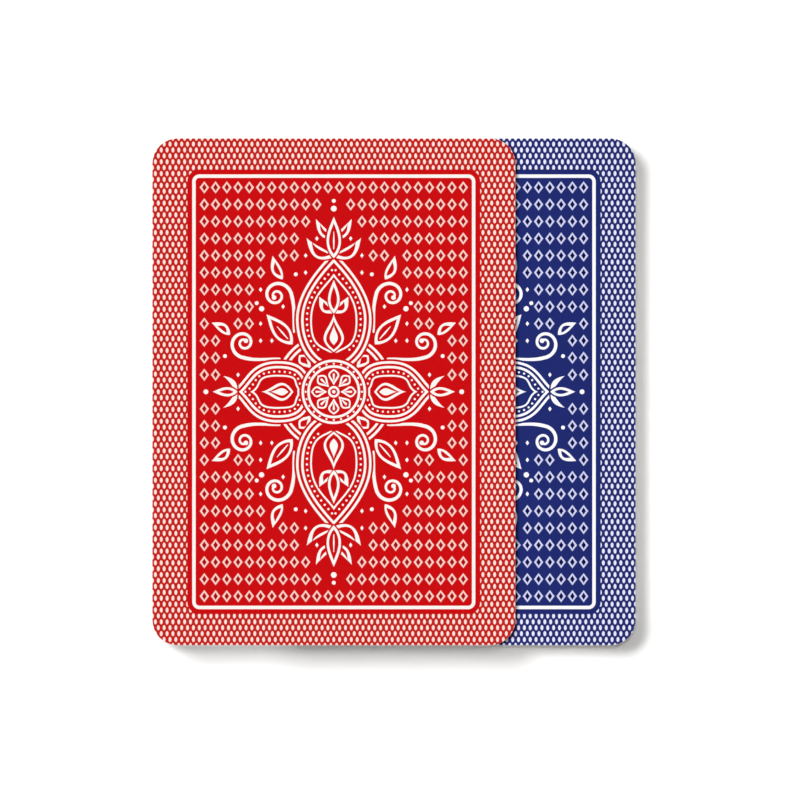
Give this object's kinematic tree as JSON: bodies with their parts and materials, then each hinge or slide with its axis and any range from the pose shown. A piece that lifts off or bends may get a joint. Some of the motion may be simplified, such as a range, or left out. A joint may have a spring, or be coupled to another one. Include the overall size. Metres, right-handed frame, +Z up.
{
  "type": "rummy card deck",
  "caption": "Two packs of face-down playing cards, the red-backed pack lying on the blue-backed one and pushed to the left, with cards that slide, fan, draw and turn up.",
  "frame": {"origin": "on the table, under the middle of the two overlapping packs", "axes": "+Z up from the table, +Y along the long side of the cards, +X across the cards towards the uncovered strip of the blue pack"},
  "size_m": [0.084, 0.0882, 0.0324],
  "materials": {
    "red_back_card": "coated card stock, smooth satin varnish over a red and white printed back, white face and white cut edges",
    "blue_back_card": "coated card stock, smooth satin varnish over a blue and white printed back, white face and white cut edges"
  },
  "bodies": {
    "blue_stock": {"blue_spades": "blue_back_card", "blue_diamonds": "blue_back_card"},
    "blue_king_of_clubs": {"blue_king_of_clubs": "blue_back_card"},
    "blue_queen_of_clubs": {"blue_queen_of_clubs": "blue_back_card"},
    "blue_jack_of_clubs": {"blue_jack_of_clubs": "blue_back_card"},
    "blue_ten_of_clubs": {"blue_ten_of_clubs": "blue_back_card"},
    "blue_nine_of_clubs": {"blue_nine_of_clubs": "blue_back_card"},
    "blue_eight_of_clubs": {"blue_eight_of_clubs": "blue_back_card"},
    "blue_seven_of_clubs": {"blue_seven_of_clubs": "blue_back_card"},
    "blue_six_of_clubs": {"blue_six_of_clubs": "blue_back_card"},
    "blue_five_of_clubs": {"blue_five_of_clubs": "blue_back_card"},
    "blue_four_of_clubs": {"blue_four_of_clubs": "blue_back_card"},
    "blue_three_of_clubs": {"blue_three_of_clubs": "blue_back_card"},
    "blue_two_of_clubs": {"blue_two_of_clubs": "blue_back_card"},
    "blue_ace_of_clubs": {"blue_ace_of_clubs": "blue_back_card"},
    "blue_king_of_hearts": {"blue_king_of_hearts": "blue_back_card"},
    "blue_queen_of_hearts": {"blue_queen_of_hearts": "blue_back_card"},
    "blue_jack_of_hearts": {"blue_jack_of_hearts": "blue_back_card"},
    "blue_ten_of_hearts": {"blue_ten_of_hearts": "blue_back_card"},
    "blue_nine_of_hearts": {"blue_nine_of_hearts": "blue_back_card"},
    "blue_eight_of_hearts": {"blue_eight_of_hearts": "blue_back_card"},
    "blue_seven_of_hearts": {"blue_seven_of_hearts": "blue_back_card"},
    "blue_six_of_hearts": {"blue_six_of_hearts": "blue_back_card"},
    "blue_five_of_hearts": {"blue_five_of_hearts": "blue_back_card"},
    "blue_four_of_hearts": {"blue_four_of_hearts": "blue_back_card"},
    "blue_three_of_hearts": {"blue_three_of_hearts": "blue_back_card"},
    "blue_two_of_hearts": {"blue_two_of_hearts": "blue_back_card"},
    "blue_ace_of_hearts": {"blue_ace_of_hearts": "blue_back_card"},
    "blue_joker_2": {"blue_joker_2": "blue_back_card"},
    "blue_joker_1": {"blue_joker_1": "blue_back_card"},
    "red_stock": {"red_spades": "red_back_card"},
    "red_packet": {"red_diamonds": "red_back_card"},
    "red_king_of_clubs": {"red_king_of_clubs": "red_back_card"},
    "red_queen_of_clubs": {"red_queen_of_clubs": "red_back_card"},
    "red_jack_of_clubs": {"red_jack_of_clubs": "red_back_card"},
    "red_ten_of_clubs": {"red_ten_of_clubs": "red_back_card"},
    "red_nine_of_clubs": {"red_nine_of_clubs": "red_back_card"},
    "red_eight_of_clubs": {"red_eight_of_clubs": "red_back_card"},
    "red_seven_of_clubs": {"red_seven_of_clubs": "red_back_card"},
    "red_six_of_clubs": {"red_six_of_clubs": "red_back_card"},
    "red_five_of_clubs": {"red_five_of_clubs": "red_back_card"},
    "red_four_of_clubs": {"red_four_of_clubs": "red_back_card"},
    "red_three_of_clubs": {"red_three_of_clubs": "red_back_card"},
    "red_two_of_clubs": {"red_two_of_clubs": "red_back_card"},
    "red_ace_of_clubs": {"red_ace_of_clubs": "red_back_card"},
    "red_king_of_hearts": {"red_king_of_hearts": "red_back_card"},
    "red_queen_of_hearts": {"red_queen_of_hearts": "red_back_card"},
    "red_jack_of_hearts": {"red_jack_of_hearts": "red_back_card"},
    "red_ten_of_hearts": {"red_ten_of_hearts": "red_back_card"},
    "red_nine_of_hearts": {"red_nine_of_hearts": "red_back_card"},
    "red_eight_of_hearts": {"red_eight_of_hearts": "red_back_card"},
    "red_seven_of_hearts": {"red_seven_of_hearts": "red_back_card"},
    "red_six_of_hearts": {"red_six_of_hearts": "red_back_card"},
    "red_five_of_hearts": {"red_five_of_hearts": "red_back_card"},
    "red_four_of_hearts": {"red_four_of_hearts": "red_back_card"},
    "red_three_of_hearts": {"red_three_of_hearts": "red_back_card"},
    "red_two_of_hearts": {"red_two_of_hearts": "red_back_card"},
    "red_ace_of_hearts": {"red_ace_of_hearts": "red_back_card"},
    "red_joker_2": {"red_joker_2": "red_back_card"},
    "red_joker_1": {"red_joker_1": "red_back_card"}
  },
  "joints": [
    {"name": "blue_spread", "type": "slide", "parent": "blue_stock", "child": "blue_joker_1", "axis": [1, 0, 0], "range_m": [0, 0.026]},
    {"name": "blue_spread_joker_2", "type": "slide", "parent": "blue_stock", "child": "blue_joker_2", "axis": [1, 0, 0], "range_m": [0, 0.02507]},
    {"name": "blue_spread_ace_of_hearts", "type": "slide", "parent": "blue_stock", "child": "blue_ace_of_hearts", "axis": [1, 0, 0], "range_m": [0, 0.02414]},
    {"name": "blue_spread_two_of_hearts", "type": "slide", "parent": "blue_stock", "child": "blue_two_of_hearts", "axis": [1, 0, 0], "range_m": [0, 0.02322]},
    {"name": "blue_spread_three_of_hearts", "type": "slide", "parent": "blue_stock", "child": "blue_three_of_hearts", "axis": [1, 0, 0], "range_m": [0, 0.02229]},
    {"name": "blue_spread_four_of_hearts", "type": "slide", "parent": "blue_stock", "child": "blue_four_of_hearts", "axis": [1, 0, 0], "range_m": [0, 0.02136]},
    {"name": "blue_spread_five_of_hearts", "type": "slide", "parent": "blue_stock", "child": "blue_five_of_hearts", "axis": [1, 0, 0], "range_m": [0, 0.02043]},
    {"name": "blue_spread_six_of_hearts", "type": "slide", "parent": "blue_stock", "child": "blue_six_of_hearts", "axis": [1, 0, 0], "range_m": [0, 0.0195]},
    {"name": "blue_spread_seven_of_hearts", "type": "slide", "parent": "blue_stock", "child": "blue_seven_of_hearts", "axis": [1, 0, 0], "range_m": [0, 0.01857]},
    {"name": "blue_spread_eight_of_hearts", "type": "slide", "parent": "blue_stock", "child": "blue_eight_of_hearts", "axis": [1, 0, 0], "range_m": [0, 0.01764]},
    {"name": "blue_spread_nine_of_hearts", "type": "slide", "parent": "blue_stock", "child": "blue_nine_of_hearts", "axis": [1, 0, 0], "range_m": [0, 0.01672]},
    {"name": "blue_spread_ten_of_hearts", "type": "slide", "parent": "blue_stock", "child": "blue_ten_of_hearts", "axis": [1, 0, 0], "range_m": [0, 0.01579]},
    {"name": "blue_spread_jack_of_hearts", "type": "slide", "parent": "blue_stock", "child": "blue_jack_of_hearts", "axis": [1, 0, 0], "range_m": [0, 0.01486]},
    {"name": "blue_spread_queen_of_hearts", "type": "slide", "parent": "blue_stock", "child": "blue_queen_of_hearts", "axis": [1, 0, 0], "range_m": [0, 0.01393]},
    {"name": "blue_spread_king_of_hearts", "type": "slide", "parent": "blue_stock", "child": "blue_king_of_hearts", "axis": [1, 0, 0], "range_m": [0, 0.013]},
    {"name": "blue_spread_ace_of_clubs", "type": "slide", "parent": "blue_stock", "child": "blue_ace_of_clubs", "axis": [1, 0, 0], "range_m": [0, 0.01207]},
    {"name": "blue_spread_two_of_clubs", "type": "slide", "parent": "blue_stock", "child": "blue_two_of_clubs", "axis": [1, 0, 0], "range_m": [0, 0.01114]},
    {"name": "blue_spread_three_of_clubs", "type": "slide", "parent": "blue_stock", "child": "blue_three_of_clubs", "axis": [1, 0, 0], "range_m": [0, 0.01022]},
    {"name": "blue_spread_four_of_clubs", "type": "slide", "parent": "blue_stock", "child": "blue_four_of_clubs", "axis": [1, 0, 0], "range_m": [0, 0.00929]},
    {"name": "blue_spread_five_of_clubs", "type": "slide", "parent": "blue_stock", "child": "blue_five_of_clubs", "axis": [1, 0, 0], "range_m": [0, 0.00836]},
    {"name": "blue_spread_six_of_clubs", "type": "slide", "parent": "blue_stock", "child": "blue_six_of_clubs", "axis": [1, 0, 0], "range_m": [0, 0.00743]},
    {"name": "blue_spread_seven_of_clubs", "type": "slide", "parent": "blue_stock", "child": "blue_seven_of_clubs", "axis": [1, 0, 0], "range_m": [0, 0.0065]},
    {"name": "blue_spread_eight_of_clubs", "type": "slide", "parent": "blue_stock", "child": "blue_eight_of_clubs", "axis": [1, 0, 0], "range_m": [0, 0.00557]},
    {"name": "blue_spread_nine_of_clubs", "type": "slide", "parent": "blue_stock", "child": "blue_nine_of_clubs", "axis": [1, 0, 0], "range_m": [0, 0.00464]},
    {"name": "blue_spread_ten_of_clubs", "type": "slide", "parent": "blue_stock", "child": "blue_ten_of_clubs", "axis": [1, 0, 0], "range_m": [0, 0.00372]},
    {"name": "blue_spread_jack_of_clubs", "type": "slide", "parent": "blue_stock", "child": "blue_jack_of_clubs", "axis": [1, 0, 0], "range_m": [0, 0.00279]},
    {"name": "blue_spread_queen_of_clubs", "type": "slide", "parent": "blue_stock", "child": "blue_queen_of_clubs", "axis": [1, 0, 0], "range_m": [0, 0.00186]},
    {"name": "blue_spread_king_of_clubs", "type": "slide", "parent": "blue_stock", "child": "blue_king_of_clubs", "axis": [1, 0, 0], "range_m": [0, 0.0009296]},
    {"name": "red_pack_slide", "type": "slide", "parent": "blue_stock", "child": "red_stock", "axis": [1, 0, 0], "range_m": [-0.01, 0.0209]},
    {"name": "red_cut_slide", "type": "slide", "parent": "red_stock", "child": "red_packet", "axis": [0, 1, 0], "range_m": [0, 0.04]},
    {"name": "red_fan", "type": "hinge", "parent": "red_packet", "child": "red_ace_of_hearts", "pos_m": [-0.03756, -0.03965, 0.03164], "axis": [0, 0, -1], "range_deg": [0, 30]},
    {"name": "red_fan_two_of_hearts", "type": "hinge", "parent": "red_packet", "child": "red_two_of_hearts", "pos_m": [-0.03759, -0.03953, 0.03134], "axis": [0, 0, -1], "range_deg": [0, 28.85]},
    {"name": "red_fan_three_of_hearts", "type": "hinge", "parent": "red_packet", "child": "red_three_of_hearts", "pos_m": [-0.03748, -0.03966, 0.03104], "axis": [0, 0, -1], "range_deg": [0, 27.69]},
    {"name": "red_fan_four_of_hearts", "type": "hinge", "parent": "red_packet", "child": "red_four_of_hearts", "pos_m": [-0.03761, -0.03959, 0.03074], "axis": [0, 0, -1], "range_deg": [0, 26.54]},
    {"name": "red_fan_five_of_hearts", "type": "hinge", "parent": "red_packet", "child": "red_five_of_hearts", "pos_m": [-0.03753, -0.03956, 0.03044], "axis": [0, 0, -1], "range_deg": [0, 25.38]},
    {"name": "red_fan_six_of_hearts", "type": "hinge", "parent": "red_packet", "child": "red_six_of_hearts", "pos_m": [-0.03752, -0.03967, 0.03014], "axis": [0, 0, -1], "range_deg": [0, 24.23]},
    {"name": "red_fan_seven_of_hearts", "type": "hinge", "parent": "red_packet", "child": "red_seven_of_hearts", "pos_m": [-0.03761, -0.03954, 0.02984], "axis": [0, 0, -1], "range_deg": [0, 23.08]},
    {"name": "red_fan_eight_of_hearts", "type": "hinge", "parent": "red_packet", "child": "red_eight_of_hearts", "pos_m": [-0.03748, -0.03962, 0.02954], "axis": [0, 0, -1], "range_deg": [0, 21.92]},
    {"name": "red_fan_nine_of_hearts", "type": "hinge", "parent": "red_packet", "child": "red_nine_of_hearts", "pos_m": [-0.03758, -0.03963, 0.02924], "axis": [0, 0, -1], "range_deg": [0, 20.77]},
    {"name": "red_fan_ten_of_hearts", "type": "hinge", "parent": "red_packet", "child": "red_ten_of_hearts", "pos_m": [-0.03757, -0.03954, 0.02894], "axis": [0, 0, -1], "range_deg": [0, 19.62]},
    {"name": "red_fan_jack_of_hearts", "type": "hinge", "parent": "red_packet", "child": "red_jack_of_hearts", "pos_m": [-0.03749, -0.03967, 0.02864], "axis": [0, 0, -1], "range_deg": [0, 18.46]},
    {"name": "red_fan_queen_of_hearts", "type": "hinge", "parent": "red_packet", "child": "red_queen_of_hearts", "pos_m": [-0.03762, -0.03957, 0.02834], "axis": [0, 0, -1], "range_deg": [0, 17.31]},
    {"name": "red_fan_king_of_hearts", "type": "hinge", "parent": "red_packet", "child": "red_king_of_hearts", "pos_m": [-0.03751, -0.03958, 0.02804], "axis": [0, 0, -1], "range_deg": [0, 16.15]},
    {"name": "red_fan_ace_of_clubs", "type": "hinge", "parent": "red_packet", "child": "red_ace_of_clubs", "pos_m": [-0.03754, -0.03966, 0.02774], "axis": [0, 0, -1], "range_deg": [0, 15]},
    {"name": "red_fan_two_of_clubs", "type": "hinge", "parent": "red_packet", "child": "red_two_of_clubs", "pos_m": [-0.0376, -0.03953, 0.02744], "axis": [0, 0, -1], "range_deg": [0, 13.85]},
    {"name": "red_fan_three_of_clubs", "type": "hinge", "parent": "red_packet", "child": "red_three_of_clubs", "pos_m": [-0.03748, -0.03964, 0.02714], "axis": [0, 0, -1], "range_deg": [0, 12.69]},
    {"name": "red_fan_four_of_clubs", "type": "hinge", "parent": "red_packet", "child": "red_four_of_clubs", "pos_m": [-0.0376, -0.0396, 0.02684], "axis": [0, 0, -1], "range_deg": [0, 11.54]},
    {"name": "red_fan_five_of_clubs", "type": "hinge", "parent": "red_packet", "child": "red_five_of_clubs", "pos_m": [-0.03754, -0.03955, 0.02654], "axis": [0, 0, -1], "range_deg": [0, 10.38]},
    {"name": "red_fan_six_of_clubs", "type": "hinge", "parent": "red_packet", "child": "red_six_of_clubs", "pos_m": [-0.03751, -0.03967, 0.02624], "axis": [0, 0, -1], "range_deg": [0, 9.23]},
    {"name": "red_fan_seven_of_clubs", "type": "hinge", "parent": "red_packet", "child": "red_seven_of_clubs", "pos_m": [-0.03762, -0.03955, 0.02594], "axis": [0, 0, -1], "range_deg": [0, 8.08]},
    {"name": "red_fan_eight_of_clubs", "type": "hinge", "parent": "red_packet", "child": "red_eight_of_clubs", "pos_m": [-0.03749, -0.03961, 0.02564], "axis": [0, 0, -1], "range_deg": [0, 6.92]},
    {"name": "red_fan_nine_of_clubs", "type": "hinge", "parent": "red_packet", "child": "red_nine_of_clubs", "pos_m": [-0.03757, -0.03964, 0.02534], "axis": [0, 0, -1], "range_deg": [0, 5.77]},
    {"name": "red_fan_ten_of_clubs", "type": "hinge", "parent": "red_packet", "child": "red_ten_of_clubs", "pos_m": [-0.03758, -0.03953, 0.02504], "axis": [0, 0, -1], "range_deg": [0, 4.62]},
    {"name": "red_fan_jack_of_clubs", "type": "hinge", "parent": "red_packet", "child": "red_jack_of_clubs", "pos_m": [-0.03748, -0.03966, 0.02474], "axis": [0, 0, -1], "range_deg": [0, 3.46]},
    {"name": "red_fan_queen_of_clubs", "type": "hinge", "parent": "red_packet", "child": "red_queen_of_clubs", "pos_m": [-0.03761, -0.03958, 0.02444], "axis": [0, 0, -1], "range_deg": [0, 2.31]},
    {"name": "red_fan_king_of_clubs", "type": "hinge", "parent": "red_packet", "child": "red_king_of_clubs", "pos_m": [-0.03752, -0.03957, 0.02414], "axis": [0, 0, -1], "range_deg": [0, 1.15]},
    {"name": "red_draw", "type": "slide", "parent": "red_ace_of_hearts", "child": "red_joker_2", "axis": [1, 0, 0], "range_m": [0, 0.066]},
    {"name": "red_turn_up", "type": "hinge", "parent": "red_ace_of_hearts", "child": "red_joker_1", "pos_m": [0.02105, 0, 0.03224], "axis": [0, 1, 0], "range_deg": [0, 180]}
  ],
  "couplings": [
    {"joint": "blue_spread_joker_2", "follows": "blue_spread", "ratio": 0.96429},
    {"joint": "blue_spread_ace_of_hearts", "follows": "blue_spread", "ratio": 0.92857},
    {"joint": "blue_spread_two_of_hearts", "follows": "blue_spread", "ratio": 0.89286},
    {"joint": "blue_spread_three_of_hearts", "follows": "blue_spread", "ratio": 0.85714},
    {"joint": "blue_spread_four_of_hearts", "follows": "blue_spread", "ratio": 0.82143},
    {"joint": "blue_spread_five_of_hearts", "follows": "blue_spread", "ratio": 0.78571},
    {"joint": "blue_spread_six_of_hearts", "follows": "blue_spread", "ratio": 0.75},
    {"joint": "blue_spread_seven_of_hearts", "follows": "blue_spread", "ratio": 0.71429},
    {"joint": "blue_spread_eight_of_hearts", "follows": "blue_spread", "ratio": 0.67857},
    {"joint": "blue_spread_nine_of_hearts", "follows": "blue_spread", "ratio": 0.64286},
    {"joint": "blue_spread_ten_of_hearts", "follows": "blue_spread", "ratio": 0.60714},
    {"joint": "blue_spread_jack_of_hearts", "follows": "blue_spread", "ratio": 0.57143},
    {"joint": "blue_spread_queen_of_hearts", "follows": "blue_spread", "ratio": 0.53571},
    {"joint": "blue_spread_king_of_hearts", "follows": "blue_spread", "ratio": 0.5},
    {"joint": "blue_spread_ace_of_clubs", "follows": "blue_spread", "ratio": 0.46429},
    {"joint": "blue_spread_two_of_clubs", "follows": "blue_spread", "ratio": 0.42857},
    {"joint": "blue_spread_three_of_clubs", "follows": "blue_spread", "ratio": 0.39286},
    {"joint": "blue_spread_four_of_clubs", "follows": "blue_spread", "ratio": 0.35714},
    {"joint": "blue_spread_five_of_clubs", "follows": "blue_spread", "ratio": 0.32143},
    {"joint": "blue_spread_six_of_clubs", "follows": "blue_spread", "ratio": 0.28571},
    {"joint": "blue_spread_seven_of_clubs", "follows": "blue_spread", "ratio": 0.25},
    {"joint": "blue_spread_eight_of_clubs", "follows": "blue_spread", "ratio": 0.21429},
    {"joint": "blue_spread_nine_of_clubs", "follows": "blue_spread", "ratio": 0.17857},
    {"joint": "blue_spread_ten_of_clubs", "follows": "blue_spread", "ratio": 0.14286},
    {"joint": "blue_spread_jack_of_clubs", "follows": "blue_spread", "ratio": 0.10714},
    {"joint": "blue_spread_queen_of_clubs", "follows": "blue_spread", "ratio": 0.071429},
    {"joint": "blue_spread_king_of_clubs", "follows": "blue_spread", "ratio": 0.035714},
    {"joint": "red_fan_two_of_hearts", "follows": "red_fan", "ratio": 0.96154},
    {"joint": "red_fan_three_of_hearts", "follows": "red_fan", "ratio": 0.92308},
    {"joint": "red_fan_four_of_hearts", "follows": "red_fan", "ratio": 0.88462},
    {"joint": "red_fan_five_of_hearts", "follows": "red_fan", "ratio": 0.84615},
    {"joint": "red_fan_six_of_hearts", "follows": "red_fan", "ratio": 0.80769},
    {"joint": "red_fan_seven_of_hearts", "follows": "red_fan", "ratio": 0.76923},
    {"joint": "red_fan_eight_of_hearts", "follows": "red_fan", "ratio": 0.73077},
    {"joint": "red_fan_nine_of_hearts", "follows": "red_fan", "ratio": 0.69231},
    {"joint": "red_fan_ten_of_hearts", "follows": "red_fan", "ratio": 0.65385},
    {"joint": "red_fan_jack_of_hearts", "follows": "red_fan", "ratio": 0.61538},
    {"joint": "red_fan_queen_of_hearts", "follows": "red_fan", "ratio": 0.57692},
    {"joint": "red_fan_king_of_hearts", "follows": "red_fan", "ratio": 0.53846},
    {"joint": "red_fan_ace_of_clubs", "follows": "red_fan", "ratio": 0.5},
    {"joint": "red_fan_two_of_clubs", "follows": "red_fan", "ratio": 0.46154},
    {"joint": "red_fan_three_of_clubs", "follows": "red_fan", "ratio": 0.42308},
    {"joint": "red_fan_four_of_clubs", "follows": "red_fan", "ratio": 0.38462},
    {"joint": "red_fan_five_of_clubs", "follows": "red_fan", "ratio": 0.34615},
    {"joint": "red_fan_six_of_clubs", "follows": "red_fan", "ratio": 0.30769},
    {"joint": "red_fan_seven_of_clubs", "follows": "red_fan", "ratio": 0.26923},
    {"joint": "red_fan_eight_of_clubs", "follows": "red_fan", "ratio": 0.23077},
    {"joint": "red_fan_nine_of_clubs", "follows": "red_fan", "ratio": 0.19231},
    {"joint": "red_fan_ten_of_clubs", "follows": "red_fan", "ratio": 0.15385},
    {"joint": "red_fan_jack_of_clubs", "follows": "red_fan", "ratio": 0.11538},
    {"joint": "red_fan_queen_of_clubs", "follows": "red_fan", "ratio": 0.076923},
    {"joint": "red_fan_king_of_clubs", "follows": "red_fan", "ratio": 0.038462}
  ]
}
